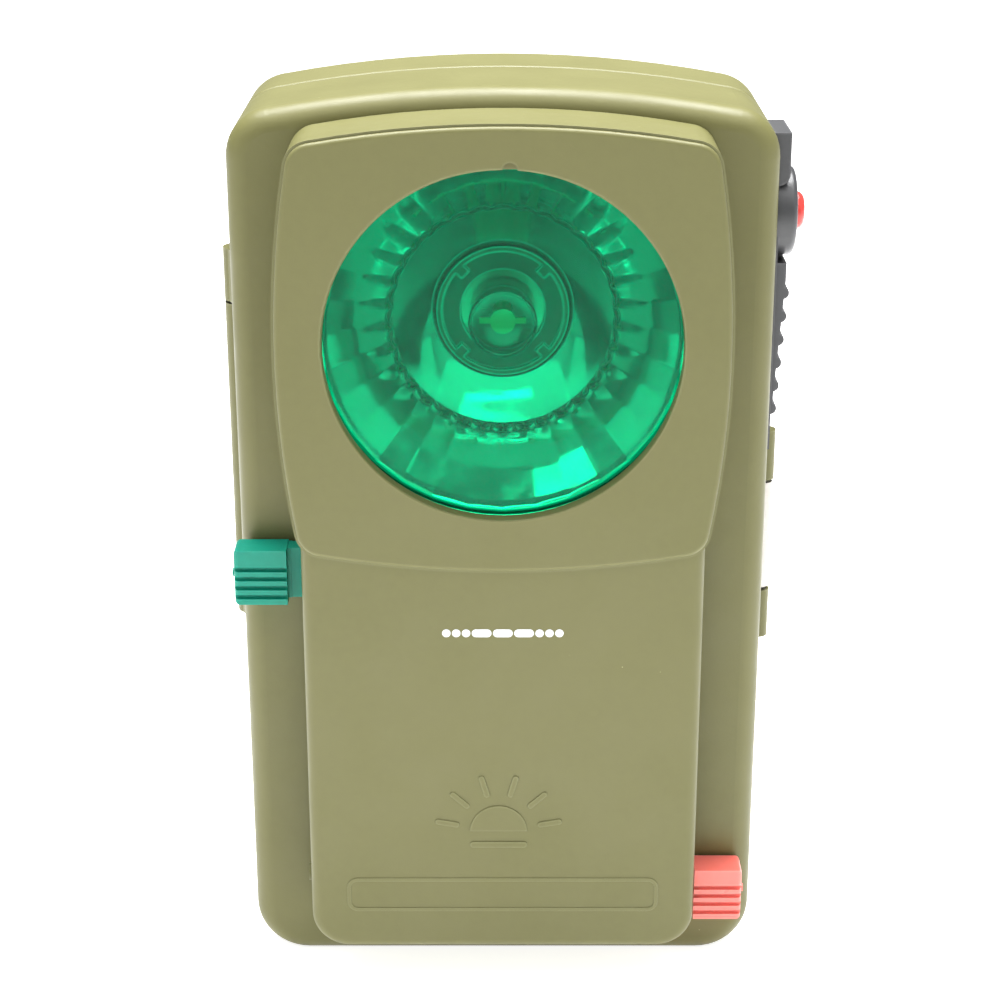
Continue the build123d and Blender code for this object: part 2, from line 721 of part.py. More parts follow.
# Bulb: pre-focused flange cap, glass dome and an emitter on two leads.
with BuildPart() as bulb_cap:
    turned([(0, flange_y), (bulb_flange_radius, flange_y), (bulb_flange_radius, flange_y + bulb_flange),
            (bulb_shell_radius, flange_y + bulb_flange), (bulb_shell_radius, bulb_shell_end_y),
            (bulb_tip_radius, bulb_shell_end_y + bulb_tip_taper), (bulb_tip_radius, bulb_tip_y),
            (0, bulb_tip_y)])
keep(bulb_cap, "bulb_cap")

with BuildPart() as bulb_glass:
    dome_y = light_centre_y - dome_setback
    with BuildSketch(facing_front(flange_y)):
        with Locations((0, lamp_z)):
            Circle(bulb_radius)
    extrude(amount=flange_y - dome_y)
    with Locations((0, dome_y, lamp_z)):
        Sphere(bulb_radius)
    with BuildSketch(facing_front(flange_y)):
        with Locations((0, lamp_z)):
            Circle(bulb_radius - glass_wall)
    extrude(amount=flange_y - dome_y, mode=Mode.SUBTRACT)
    with Locations((0, dome_y, lamp_z)):
        Sphere(bulb_radius - glass_wall, mode=Mode.SUBTRACT)
keep(bulb_glass, "bulb_glass")

with BuildPart() as bulb_emitter:
    emitter_back_y = light_centre_y + emitter_thickness
    turned([(0, light_centre_y), (emitter_radius, light_centre_y), (emitter_radius, emitter_back_y),
            (post_radius, emitter_back_y + lead_depth), (post_radius + post_flare, flange_y), (0, flange_y)])
    for side in (-1, 1):
        lead_x = sorted((side * (emitter_radius - bite), side * (emitter_radius + lead_length)))
        block(lead_x, (emitter_back_y - lead_depth, emitter_back_y),
              (lamp_z - lead_width / 2, lamp_z + lead_width / 2))
keep(bulb_emitter, "bulb_emitter")

# Brass strip from under the shelf to the tip of the bulb.
with BuildPart() as lamp_contact:
    strap_z = (contact_z, shelf_bottom)
    tongue_back_y = shelf_back_y + strip
    tongue_x = (-contact_tongue, contact_tongue)
    block((-terminal_offset - contact_reach, contact_tongue), (-contact_half_width, contact_half_width),
          strap_z)
    block(tongue_x, (contact_half_width, tongue_back_y), strap_z)
    block(tongue_x, (shelf_back_y, tongue_back_y), (contact_z, lamp_z + contact_half_width))
    with BuildSketch(Plane.XY.offset(contact_z)):
        with Locations(contact_rivet_points[0]):
            Circle(contact_rivet_radius + fixed_clearance)
    extrude(amount=strip, mode=Mode.SUBTRACT)
keep(lamp_contact, "lamp_contact")

# Brass ring round the bulb's shell, with a tail to the switch.
with BuildPart() as shell_contact:
    ring_radius = flange_bore + bulb_flange
    ring_back_y = holder_back_y + strip
    with BuildSketch(facing_front(ring_back_y)):
        with Locations((0, lamp_z)):
            Circle(ring_radius + bite)
            Circle(bulb_shell_radius + holder_clearance, mode=Mode.SUBTRACT)
        with Locations(((base_x + ring_radius) / 2, lamp_z)):
            Rectangle(base_x - ring_radius, 2 * contact_half_width)
    extrude(amount=strip)
    block((base_x - strip, base_x), (switch_y + switch_contact_offset, ring_back_y),
          (upper_contact_bottom, lamp_z + contact_half_width))
keep(shell_contact, "shell_contact")

# Brass strip from under the shelf up the right wall to the switch, with a finger for the signal button.
with BuildPart() as supply_contact:
    wall_x = (base_x - strip, base_x)
    finger_z = (boss_z - finger_height, boss_z + strip)
    block((terminal_offset - contact_reach, base_x), (-contact_half_width, contact_half_width), strap_z)
    block(wall_x, (supply_y, contact_half_width), (contact_z, contact_z + contact_reach))
    block(wall_x, (supply_y, supply_y + supply_strap), (contact_z, finger_z[1]))
    block(wall_x, (supply_y, switch_y - switch_contact_offset), (contact_z, lower_contact_top))
    block((finger_x, base_x), (supply_y, supply_y + strip), finger_z)
    block((finger_x, finger_x + strip), (supply_y, switch_y + stem_radius), finger_z)
    with BuildSketch(Plane.XY.offset(contact_z)):
        with Locations(contact_rivet_points[1]):
            Circle(contact_rivet_radius + fixed_clearance)
    extrude(amount=strip, mode=Mode.SUBTRACT)
keep(supply_contact, "supply_contact")

# Tubular rivets that hold both strips under the shelf.
with BuildPart() as contact_rivets:
    with BuildSketch(Plane.XY.offset(contact_z)):
        with Locations(*contact_rivet_points):
            Circle(contact_rivet_radius)
    extrude(amount=strip + shelf_thickness)
    for head_z in (contact_z - contact_rivet_rise, shelf_bottom + shelf_thickness):
        with BuildSketch(Plane.XY.offset(head_z)):
            with Locations(*contact_rivet_points):
                Circle(contact_rivet_head)
        extrude(amount=contact_rivet_rise)
keep(contact_rivets, "contact_rivets")

# ================================================================ battery
with BuildPart() as battery:
    with BuildSketch(Plane.XY.offset(battery_bottom)) as jacket:
        with Locations((0, (battery_front_y + battery_back_y) / 2)):
            Rectangle(battery_width, battery_depth)
        fillet(jacket.vertices(), battery_corner)
    extrude(amount=battery_height)
keep(battery, "battery")

# Two bent brass strips on top of the battery that press up against the contacts.
with BuildPart() as battery_terminals:
    for side in (-1, 1):
        with BuildSketch(Plane.YZ.offset(side * terminal_offset - terminal_width / 2)):
            with BuildLine() as spring_line:
                foot_z = battery_top + terminal_thickness / 2
                crest_z = battery_top + terminal_rise
                FilletPolyline((terminal_foot_y[0], foot_z), (terminal_foot_y[1], foot_z),
                               (terminal_crest_y, crest_z), (terminal_tip_y, crest_z - terminal_tip_drop),
                               radius=terminal_fold)
            trace(spring_line.edges(), terminal_thickness)
        extrude(amount=terminal_width)
keep(battery_terminals, "battery_terminals")

# ================================================================ hinge, latch, fasteners, clip
with BuildPart() as hinge_pin:
    with BuildSketch(Plane.XY.offset(hinge_bottom)):
        with Locations((hinge_x, seam_y)):
            Circle(hinge_pin_radius)
    extrude(amount=hinge_top - hinge_bottom)
keep(hinge_pin, "hinge_pin")

with BuildPart() as latch_pin:
    with BuildSketch(Plane.XY.offset(lugs[0][0])):
        with Locations((latch_x, latch_y)):
            Circle(latch_pin_radius)
    extrude(amount=lugs[1][1] - lugs[0][0])
keep(latch_pin, "latch_pin")

# Latch: a lever bent from sheet metal, whose tooth grips behind the ridge of the rear cover.
with BuildPart() as latch:
    plate_x = latch_x + latch_plate_offset
    outer_x = plate_x + latch_plate
    tooth_x = half_width + moving_gap
    tooth_y = ridge_y + ridge_depth + moving_gap
    tooth_back_y = tooth_y + latch_tooth
    lip_y = tooth_y + latch_lip
    with BuildSketch(Plane.XY.offset(latch_bottom)):
        with Locations((latch_x, latch_y)):
            Circle(latch_knuckle_radius)
        Polygon((plate_x, latch_y), (outer_x, latch_y), (outer_x, tooth_back_y),
                (outer_x + latch_flare, lip_y), (plate_x + latch_flare, lip_y),
                (plate_x, tooth_back_y), (tooth_x, tooth_back_y), (tooth_x, tooth_y),
                (plate_x, tooth_y), align=None)
        with Locations((latch_x, latch_y)):
            Circle(latch_pin_radius + shaft_clearance, mode=Mode.SUBTRACT)
    extrude(amount=latch_top - latch_bottom)
keep(latch, "latch")

with BuildPart() as cover_screws:
    with BuildSketch(facing_front(inner_front_y)):
        with Locations(*cover_screw_points):
            Circle(screw_radius)
    extrude(amount=case_wall + screw_bite)
    with BuildSketch(facing_front(inner_front_y + screw_head)):
        with Locations(*cover_screw_points):
            Circle(screw_head_radius)
    extrude(amount=screw_head)
    with BuildSketch(facing_front(inner_front_y + screw_head)):
        with Locations(*cover_screw_points):
            Rectangle(2 * screw_head, screw_slot)
            Rectangle(screw_slot, 2 * screw_head)
    extrude(amount=screw_slot_depth, mode=Mode.SUBTRACT)
keep(cover_screws, "cover_screws")

# Belt clip: a spring strip that stands off the rear cover.
with BuildPart() as belt_clip:
    strip_y = rear_y + clip_thickness / 2
    outer_y = strip_y + clip_gap
    clip_bottom = clip_top - clip_length
    with BuildSketch(Plane.YZ.offset(-clip_width / 2)):
        with BuildLine() as clip_line:
            FilletPolyline((strip_y, clip_top), (strip_y, clip_top - clip_seat),
                           (outer_y, clip_top - clip_seat - clip_ramp), (outer_y, clip_bottom + clip_knee),
                           (rear_y + clip_thickness, clip_bottom + clip_pinch),
                           (outer_y - clip_flare, clip_bottom), radius=clip_bend)
        trace(clip_line.edges(), clip_thickness)
    extrude(amount=clip_width)
    with BuildSketch(facing_front(rear_y + clip_thickness)):
        with Locations(*rivet_points):
            Circle(clip_rivet_radius + fixed_clearance)
    extrude(amount=clip_thickness, mode=Mode.SUBTRACT)
keep(belt_clip, "belt_clip")

with BuildPart() as clip_rivets:
    with BuildSketch(facing_front(rear_y + clip_thickness)):
        with Locations(*rivet_points):
            Circle(clip_rivet_radius)
    extrude(amount=clip_thickness + case_wall)
    for back in (rear_y + clip_thickness + clip_rivet_rise, inner_rear_y):
        with BuildSketch(facing_front(back)):
            with Locations(*rivet_points):
                Circle(clip_rivet_radius + clip_rivet_head)
        extrude(amount=clip_rivet_rise)
keep(clip_rivets, "clip_rivets")

# ================================================================ switch on the right wall
# Housing outside the wall: frame round the slider, boss for the button, block over it.
with BuildPart() as switch_housing:
    frame_bottom = slider_bottom - slider_travel - moving_gap - frame_rail
    track_half_width = slider_width / 2 + moving_gap
    top_block_top = boss_z + boss_radius + top_block_lift
    block((half_width, half_width + frame_rise),
          (switch_y - frame_half_width, switch_y + frame_half_width), (frame_bottom, boss_z))
    block((half_width - cut_over, half_width + frame_rise + cut_over),
          (switch_y - track_half_width, switch_y + track_half_width),
          (frame_bottom + frame_rail, slider_top + moving_gap), mode=Mode.SUBTRACT)
    with BuildSketch(facing_front(switch_y + top_block_width / 2)) as top_block:
        with Locations((half_width, top_block_top - top_block_height / 2)):
            Rectangle(2 * top_block_rise, top_block_height)
        fillet(top_block.vertices().group_by(Axis.Z)[-1].sort_by(Axis.X)[-1], top_block_corner)
    extrude(amount=top_block_width)
    with BuildSketch(Plane.YZ.offset(half_width)):
        with Locations((switch_y, boss_z)):
            Circle(boss_radius)
    extrude(amount=boss_rise)
    fillet(switch_housing.faces().sort_by(Axis.X)[-1].edges(), boss_edge)
    with BuildSketch(Plane.YZ.offset(half_width)):
        with Locations((switch_y, boss_z)):
            Circle(button_radius + shaft_clearance)
    extrude(amount=boss_rise, mode=Mode.SUBTRACT)
    with BuildSketch(Plane.YZ.offset(half_width)):
        with Locations((switch_y, boss_z)):
            Circle(button_bay_radius)
    extrude(amount=boss_rise - button_roof, mode=Mode.SUBTRACT)
    with BuildSketch(Plane.YZ.offset(half_width)):
        with Locations(*[(switch_y, z) for z in switch_screw_heights]):
            Circle(screw_radius + fixed_clearance)
    extrude(amount=boss_rise - button_roof, mode=Mode.SUBTRACT)
    with BuildSketch(facing_front(casing_end_y)):
        add(case_shape)
    extrude(amount=casing_end_y - front_y, mode=Mode.SUBTRACT)
keep(switch_housing, "switch_housing")

# Base inside the wall that the contacts lie on.
with BuildPart() as switch_base:
    with BuildSketch(Plane.YZ.offset(base_x)):
        with Locations((switch_y, (base_bottom + base_top) / 2)):
            Rectangle(frame_width, base_top - base_bottom)
        with Locations((switch_y, boss_z)):
            Circle(stem_radius + moving_gap, mode=Mode.SUBTRACT)
        with Locations((switch_y, slider_leg_bottom + (leg_span - slider_travel) / 2)):
            Rectangle(leg_thickness + 2 * moving_gap, leg_span + slider_travel + 2 * moving_gap,
                      mode=Mode.SUBTRACT)
        with Locations(*[(switch_y, z) for z in switch_screw_heights]):
            Circle(screw_radius + fixed_clearance, mode=Mode.SUBTRACT)
    extrude(amount=base_thickness)
keep(switch_base, "switch_base")

with BuildPart() as switch_screws:
    for z, seat_x in zip(switch_screw_heights, (base_x, base_x - strip)):
        with BuildSketch(Plane.YZ.offset(seat_x)):
            with Locations((switch_y, z)):
                Circle(screw_radius - fixed_clearance)
        extrude(amount=half_width - seat_x + switch_screw_bite)
        with BuildSketch(Plane.YZ.offset(seat_x - switch_screw_head)):
            with Locations((switch_y, z)):
                Circle(switch_screw_head_radius)
        extrude(amount=switch_screw_head)
keep(switch_screws, "switch_screws")

# Thumb slider: ribbed grip that thins towards its lower end, and a leg through the wall.
with BuildPart() as thumb_slider:
    slider_back_x = half_width + moving_gap
    low_x = half_width + slider_rise_low
    high_x = half_width + slider_rise_high
    rib_slope = (high_x - low_x) / (slider_length - slider_head)
    with BuildSketch(facing_front(switch_y + slider_width / 2)):
        Polygon((slider_back_x, slider_bottom), (low_x, slider_bottom), (high_x, slider_top - slider_head),
                (high_x, slider_top), (slider_back_x, slider_top), align=None)
        for number in range(grip_rib_count):
            rise = grip_rib_radius + number * grip_rib_pitch
            with Locations((low_x + rise * rib_slope - grip_rib_sink, slider_bottom + rise)):
                Circle(grip_rib_radius)
        with Locations((slider_back_x - cut_over, (slider_bottom + slider_top) / 2)):
            Rectangle(2 * cut_over, slider_length + 2 * cut_over, mode=Mode.SUBTRACT)
    extrude(amount=slider_width)
    block((base_x - leg_end, low_x), (switch_y - leg_thickness / 2, switch_y + leg_thickness / 2),
          (slider_leg_bottom, slider_leg_top))
keep(thumb_slider, "thumb_slider")

with BuildPart() as slider_contact:
    bridge_x = base_x - leg_end - strip
    block((bridge_x, bridge_x + strip), (switch_y - bridge_width / 2, switch_y + bridge_width / 2),
          (bridge_bottom, bridge_bottom + bridge_length))
keep(slider_contact, "slider_contact")

with BuildPart() as signal_button:
    button_top = half_width + boss_rise + button_rise
    flange_top = half_width + boss_rise - button_roof - button_flange_gap
    with BuildSketch(Plane.YZ.offset(flange_top - button_flange)):
        with Locations((switch_y, boss_z)):
            Circle(button_flange_radius)
    extrude(amount=button_flange)
    with BuildSketch(Plane.YZ.offset(flange_top)):
        with Locations((switch_y, boss_z)):
            Circle(button_radius)
    extrude(amount=button_top - flange_top)
    fillet(signal_button.faces().sort_by(Axis.X)[-1].edges(), button_edge)
    with BuildSketch(Plane.YZ.offset(base_x)):
        with Locations((switch_y, boss_z)):
            Circle(stem_radius)
    extrude(amount=flange_top - base_x)
keep(signal_button, "signal_button")

# Leaf spring behind the button's stem, held at its top by the upper switch screw.
with BuildPart() as signal_spring:
    block((base_x - strip, base_x), (switch_y - spring_width / 2, switch_y + spring_width / 2),
          (boss_z - spring_overlap, base_top))
    with BuildSketch(Plane.YZ.offset(base_x - strip)):
        with Locations((switch_y, switch_screw_heights[1])):
            Circle(screw_radius + fixed_clearance)
    extrude(amount=strip, mode=Mode.SUBTRACT)
keep(signal_spring, "signal_spring")
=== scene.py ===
import math
import bmesh
import bpy
from mathutils import Matrix, Vector


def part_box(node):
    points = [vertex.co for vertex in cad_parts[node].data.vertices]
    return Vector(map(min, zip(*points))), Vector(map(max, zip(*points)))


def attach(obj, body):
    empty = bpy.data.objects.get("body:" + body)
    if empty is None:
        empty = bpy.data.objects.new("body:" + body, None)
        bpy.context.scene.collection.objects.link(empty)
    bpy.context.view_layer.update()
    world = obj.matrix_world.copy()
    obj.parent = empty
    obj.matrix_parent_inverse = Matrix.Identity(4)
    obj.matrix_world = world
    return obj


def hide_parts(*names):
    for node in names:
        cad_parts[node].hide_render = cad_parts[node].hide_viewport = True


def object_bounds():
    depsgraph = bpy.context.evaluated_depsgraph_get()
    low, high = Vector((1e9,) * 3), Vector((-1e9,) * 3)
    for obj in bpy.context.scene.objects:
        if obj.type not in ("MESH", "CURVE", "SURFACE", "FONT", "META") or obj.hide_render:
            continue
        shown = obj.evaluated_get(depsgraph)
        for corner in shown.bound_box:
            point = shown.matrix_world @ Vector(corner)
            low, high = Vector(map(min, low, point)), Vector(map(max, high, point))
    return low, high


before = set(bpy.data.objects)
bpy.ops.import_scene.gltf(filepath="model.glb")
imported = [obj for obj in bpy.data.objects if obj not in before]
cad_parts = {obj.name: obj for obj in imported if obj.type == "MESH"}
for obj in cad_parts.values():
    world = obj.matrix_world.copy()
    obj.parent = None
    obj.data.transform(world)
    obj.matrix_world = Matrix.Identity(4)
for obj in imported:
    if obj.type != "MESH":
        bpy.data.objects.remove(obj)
cad_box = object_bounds()
scene = bpy.context.scene
scene.view_settings.view_transform = "Standard"
MM = 0.001

# ---------------------------------------------------------------- camera, from the photograph's viewpoint
CAMERA_PLACE = Vector((-0.4, -314.1, 185.8)) * MM
CAMERA_PITCH = math.radians(20.4)
camera = bpy.data.objects.new("camera", bpy.data.cameras.new("camera"))
scene.collection.objects.link(camera)
camera.data.lens = 79.6
camera.data.sensor_width = 36.0
camera.data.clip_start = 0.01
camera.location = CAMERA_PLACE
camera.rotation_euler = (math.pi / 2 - CAMERA_PITCH, 0, 0)
scene.camera = camera


# ---------------------------------------------------------------- light, with places and sizes in metres
def soft_light(name, place, aim, size, watts):
    """A rectangular studio light at place, turned to aim."""
    light = bpy.data.lights.new(name, "AREA")
    light.shape = "RECTANGLE"
    light.size, light.size_y = size
    light.energy = watts
    lamp = bpy.data.objects.new(name, light)
    scene.collection.objects.link(lamp)
    lamp.location = place
    direction = Vector(aim) - Vector(place)
    lamp.rotation_euler = direction.to_track_quat("-Z", "Y").to_euler()


# A broad soft box with two brighter tubes in front of it, a fill on each side and a strong light above.
middle = (cad_box[0] + cad_box[1]) / 2
soft_light("key", (0.0, -0.42, 0.52), middle, (1.20, 0.34), 0.95)
soft_light("near_tube", (0.03, -0.38, 0.55), middle, (0.52, 0.040), 0.22)
soft_light("far_tube", (-0.03, -0.30, 0.62), middle, (0.75, 0.055), 0.42)
soft_light("left_fill", (-0.70, -0.30, 0.34), middle, (0.30, 0.50), 0.35)
soft_light("right_fill", (0.70, -0.30, 0.34), middle, (0.30, 0.50), 0.35)
soft_light("top", (0.0, 0.12, 0.80), middle, (0.7, 0.45), 20.0)

# Faint even light from all round.
world = bpy.data.worlds.new("studio")
scene.world = world
world.use_nodes = True
background = world.node_tree.nodes["Background"]
background.inputs["Color"].default_value = (1, 1, 1, 1)
background.inputs["Strength"].default_value = 0.28


# ---------------------------------------------------------------- materials
def new_material(name, color, roughness, metallic=0.0, **sockets):
    """A material with one Principled shader; sockets are further values set on it."""
    material = bpy.data.materials.new(name)
    material.use_nodes = True
    shader = material.node_tree.nodes["Principled BSDF"]
    shader.inputs["Base Color"].default_value = (*color, 1)
    shader.inputs["Roughness"].default_value = roughness
    shader.inputs["Metallic"].default_value = metallic
    for socket, value in sockets.items():
        shader.inputs[socket.replace("_", " ")].default_value = value
    return material, material.node_tree, shader


def noise(tree, scale, detail=3.0, stretch=(1, 1, 1)):
    """Noise in the piece's own space; scale is in features per metre."""
    place = tree.nodes.new("ShaderNodeTexCoord")
    mapping = tree.nodes.new("ShaderNodeMapping")
    mapping.inputs["Scale"].default_value = stretch
    texture = tree.nodes.new("ShaderNodeTexNoise")
    texture.inputs["Scale"].default_value = scale
    texture.inputs["Detail"].default_value = detail
    tree.links.new(place.outputs["Object"], mapping.inputs["Vector"])
    tree.links.new(mapping.outputs["Vector"], texture.inputs["Vector"])
    return texture.outputs["Fac"]


def spread(tree, value, low, high, start=0.3, end=0.7):
    """Maps a value between start and end to the range low to high."""
    spreader = tree.nodes.new("ShaderNodeMapRange")
    spreader.inputs["From Min"].default_value = start
    spreader.inputs["From Max"].default_value = end
    spreader.inputs["To Min"].default_value = low
    spreader.inputs["To Max"].default_value = high
    tree.links.new(value, spreader.inputs["Value"])
    return spreader.outputs["Result"]


def mix(tree, factor, first, second):
    """Mixes two colours by a factor; either may be a colour or a socket."""
    mixer = tree.nodes.new("ShaderNodeMix")
    mixer.data_type = "RGBA"
    sockets = [s for s in mixer.inputs if s.type == "RGBA"]
    for socket, value in zip(sockets, (first, second)):
        if isinstance(value, bpy.types.NodeSocket):
            tree.links.new(value, socket)
        else:
            socket.default_value = (*value, 1)
    tree.links.new(factor, mixer.inputs["Factor"])
    return next(s for s in mixer.outputs if s.type == "RGBA")


def specks(tree, scale, size):
    """Sparse small grains, 1 on a grain and 0 elsewhere."""
    place = tree.nodes.new("ShaderNodeTexCoord")
    cells = tree.nodes.new("ShaderNodeTexVoronoi")
    cells.inputs["Scale"].default_value = scale
    tree.links.new(place.outputs["Object"], cells.inputs["Vector"])
    near = spread(tree, cells.outputs["Distance"], 1.0, 0.0, size * 0.6, size)
    chosen = spread(tree, noise(tree, scale * 0.6, 0), 0.0, 1.0, 0.60, 0.62)
    both = tree.nodes.new("ShaderNodeMath")
    both.operation = "MULTIPLY"
    tree.links.new(near, both.inputs[0])
    tree.links.new(chosen, both.inputs[1])
    return both.outputs[0]


def worn_and_lit_edges(tree, radius):
    """Edge wear and painted edge highlight: 1 along edges, 0 on flat ground, from the angle between the true
    and a rounded normal.
    """
    bevel = tree.nodes.new("ShaderNodeBevel")
    bevel.samples = 4
    bevel.inputs["Radius"].default_value = radius
    ground = tree.nodes.new("ShaderNodeNewGeometry")
    turn = tree.nodes.new("ShaderNodeVectorMath")
    turn.operation = "DOT_PRODUCT"
    tree.links.new(bevel.outputs["Normal"], turn.inputs[0])
    tree.links.new(ground.outputs["Normal"], turn.inputs[1])
    return spread(tree, turn.outputs["Value"], 1.0, 0.0, 0.93, 0.999)


def painted_groove_shade(tree, reach):
    """Painted shade: 0 deep in a groove or hollow, where little light reaches, and 1 on open ground."""
    shade = tree.nodes.new("ShaderNodeAmbientOcclusion")
    shade.samples = 6
    shade.inputs["Distance"].default_value = reach
    return spread(tree, shade.outputs["AO"], 0.0, 1.0, 0.15, 0.62)


def add_bump(tree, shader, height, distance, strength=1.0):
    """Bump of a height, in metres, on the shader."""
    bump = tree.nodes.new("ShaderNodeBump")
    bump.inputs["Strength"].default_value = strength
    bump.inputs["Distance"].default_value = distance
    tree.links.new(height, bump.inputs["Height"])
    tree.links.new(bump.outputs["Normal"], shader.inputs["Normal"])


def moulded(name, color, tint, roughness, grain=2200.0, worn_lit_colour=None, wear_and_highlight=0.38, **sockets):
    """Moulded plastic: soft mottling, uneven gloss and a fine leathery grain.

    With an edge colour it also has painted shade in its grooves, edges lightened to that colour as wear and
    as a painted highlight, and dust.
    """
    material, tree, shader = new_material(name, color, roughness, **sockets)
    patches = spread(tree, noise(tree, 30, 4), 0.0, 1.0)
    mottling = spread(tree, noise(tree, 700, 2), 0.0, 0.4)
    base = mix(tree, patches, color, tint)
    lighter = tuple(min(1.0, c * 1.10) for c in tint)
    base = mix(tree, mottling, base, lighter)
    if worn_lit_colour is not None:
        # Painted shade: grooves and hollows darkened to 0.42 of the colour.
        base = mix(tree, painted_groove_shade(tree, 0.0018), tuple(c * 0.42 for c in color), base)
        # Edges lightened toward the edge colour, partly as wear and partly as a painted highlight.
        base = mix(tree, spread(tree, worn_and_lit_edges(tree, 0.0005), 0.0, wear_and_highlight, 0.0, 1.0), base, worn_lit_colour)
        dust = tuple(min(1.0, c * 1.9 + 0.05) for c in color)
        base = mix(tree, specks(tree, 260, 0.030), base, dust)
    tree.links.new(base, shader.inputs["Base Color"])
    gloss = spread(tree, noise(tree, 120, 3), roughness - 0.05, roughness + 0.07)
    tree.links.new(gloss, shader.inputs["Roughness"])
    add_bump(tree, shader, noise(tree, grain, 2), 0.00003, 0.45)
    return material


def metal(name, color, roughness, stretch=(1, 1, 1), tarnish=(0.3, 0.25, 0.2), stain=0.35):
    """Plated or bare metal: brushed streaks and a little tarnish."""
    material, tree, shader = new_material(name, color, roughness, 1.0)
    streaks = noise(tree, 900, 3, stretch)
    stains = spread(tree, noise(tree, 160, 4), 0.0, stain)
    tree.links.new(mix(tree, stains, color, tarnish), shader.inputs["Base Color"])
    tree.links.new(spread(tree, streaks, roughness * 0.75, roughness * 1.35), shader.inputs["Roughness"])
    add_bump(tree, shader, streaks, 0.00001, 0.3)
    return material


def clear(name, color, roughness=0.015, ior=1.2, ripple=0.00003, **sockets):
    """Clear or tinted plastic or glass that lets lamps through, with faint ripples and hairline marks."""
    material, tree, shader = new_material(name, color, roughness, IOR=ior, Transmission_Weight=1.0, **sockets)
    deeper = tuple(c * 0.94 for c in color)
    base = mix(tree, spread(tree, noise(tree, 40, 3), 0, 1), color, deeper)
    tree.links.new(base, shader.inputs["Base Color"])
    marks = spread(tree, noise(tree, 300, 3), roughness * 0.4, roughness * 2.2)
    tree.links.new(marks, shader.inputs["Roughness"])
    add_bump(tree, shader, noise(tree, 90, 1), ripple, 0.3)
    see_through = tree.nodes.new("ShaderNodeBsdfTransparent")
    see_through.inputs["Color"].default_value = (*(math.sqrt(c) for c in color), 1)
    ray = tree.nodes.new("ShaderNodeLightPath")
    either = tree.nodes.new("ShaderNodeMixShader")
    tree.links.new(ray.outputs["Is Shadow Ray"], either.inputs[0])
    tree.links.new(shader.outputs[0], either.inputs[1])
    tree.links.new(see_through.outputs[0], either.inputs[2])
    tree.links.new(either.outputs[0], tree.nodes["Material Output"].inputs["Surface"])
    return material


def mirrored(name, color, hazy):
    """Vacuum-metallised plastic: a mirror with hazy places and a slight unevenness."""
    material, tree, shader = new_material(name, color, 0.03, 0.91)
    haze = spread(tree, noise(tree, 200, 4), 0.0, 0.5)
    tree.links.new(mix(tree, haze, color, hazy), shader.inputs["Base Color"])
    tree.links.new(spread(tree, noise(tree, 260, 3), 0.03, 0.13), shader.inputs["Roughness"])
    add_bump(tree, shader, noise(tree, 130, 1), 0.00004, 0.25)
    return material


def banded(name, color, bands, pitch, roughness):
    """Printed board: plain stripes along the height, with fibres and scuffs."""
    material, tree, shader = new_material(name, color, roughness)
    place = tree.nodes.new("ShaderNodeTexCoord")
    waves = tree.nodes.new("ShaderNodeTexWave")
    waves.bands_direction = "Z"
    waves.inputs["Scale"].default_value = pitch
    tree.links.new(place.outputs["Object"], waves.inputs["Vector"])
    stripes = spread(tree, waves.outputs["Fac"], 0.0, 1.0, 0.80, 0.84)
    base = mix(tree, stripes, color, bands)
    scuffs = spread(tree, noise(tree, 500, 5), 0.0, 0.35)
    base = mix(tree, scuffs, base, (0.35, 0.33, 0.30))
    tree.links.new(base, shader.inputs["Base Color"])
    add_bump(tree, shader, noise(tree, 3000, 2, (1, 1, 0.2)), 0.00003, 0.5)
    return material


olive = moulded("olive_plastic", (0.157, 0.151, 0.057), (0.147, 0.143, 0.052), 0.42,
                worn_lit_colour=(0.28, 0.28, 0.15), Specular_IOR_Level=0.32)
black = moulded("black_plastic", (0.054, 0.055, 0.058), (0.062, 0.063, 0.066), 0.30,
                worn_lit_colour=(0.15, 0.15, 0.16))
# Its edges go nearly white: a painted highlight standing for the bright ring on the holder's rounded collar.
dark_grey = moulded("grey_plastic", (0.10, 0.10, 0.10), (0.13, 0.13, 0.13), 0.35,
                    worn_lit_colour=(0.85, 0.86, 0.86), wear_and_highlight=0.9)
teal = moulded("teal_plastic", (0.001, 0.225, 0.155), (0.003, 0.26, 0.175), 0.38,
               worn_lit_colour=(0.01, 0.36, 0.26), Subsurface_Weight=0.12, Subsurface_Scale=0.001,
               Specular_IOR_Level=0.3)
coral = moulded("coral_plastic", (0.90, 0.165, 0.13), (0.93, 0.20, 0.165), 0.32,
                worn_lit_colour=(0.96, 0.36, 0.31), Subsurface_Weight=0.12, Subsurface_Scale=0.001)
signal_red = moulded("signal_red", (0.62, 0.045, 0.035), (0.68, 0.06, 0.05), 0.18)
green_clear = clear("green_window", (0.0, 0.97, 0.60))
red_clear = clear("red_window", (0.90, 0.05, 0.04))
clear_plastic = clear("clear_plastic", (0.97, 0.98, 0.98))
bulb_glass = clear("bulb_glass", (0.99, 0.99, 0.99), 0.004, 1.06, 0.00001, Coat_Weight=1.0)
mirror = mirrored("mirror_coat", (0.96, 0.97, 0.97), (0.90, 0.91, 0.92))
nickel = metal("nickel", (0.42, 0.41, 0.385), 0.36, (1, 1, 8))
steel = metal("steel", (0.6, 0.6, 0.62), 0.3)
brass = metal("brass", (0.80, 0.60, 0.28), 0.25, (1, 1, 6))
spring_steel = moulded("spring_steel", (0.03, 0.03, 0.032), (0.04, 0.04, 0.04), 0.32,
                       worn_lit_colour=(0.25, 0.25, 0.25))
emitter = moulded("emitter", (0.85, 0.80, 0.42), (0.8, 0.74, 0.36), 0.4)
jacket = banded("battery_jacket", (0.04, 0.09, 0.20), (0.70, 0.68, 0.62), 26.0, 0.38)
white_ink = moulded("white_ink", (0.86, 0.87, 0.88), (0.80, 0.81, 0.83), 0.45, 5000.0)

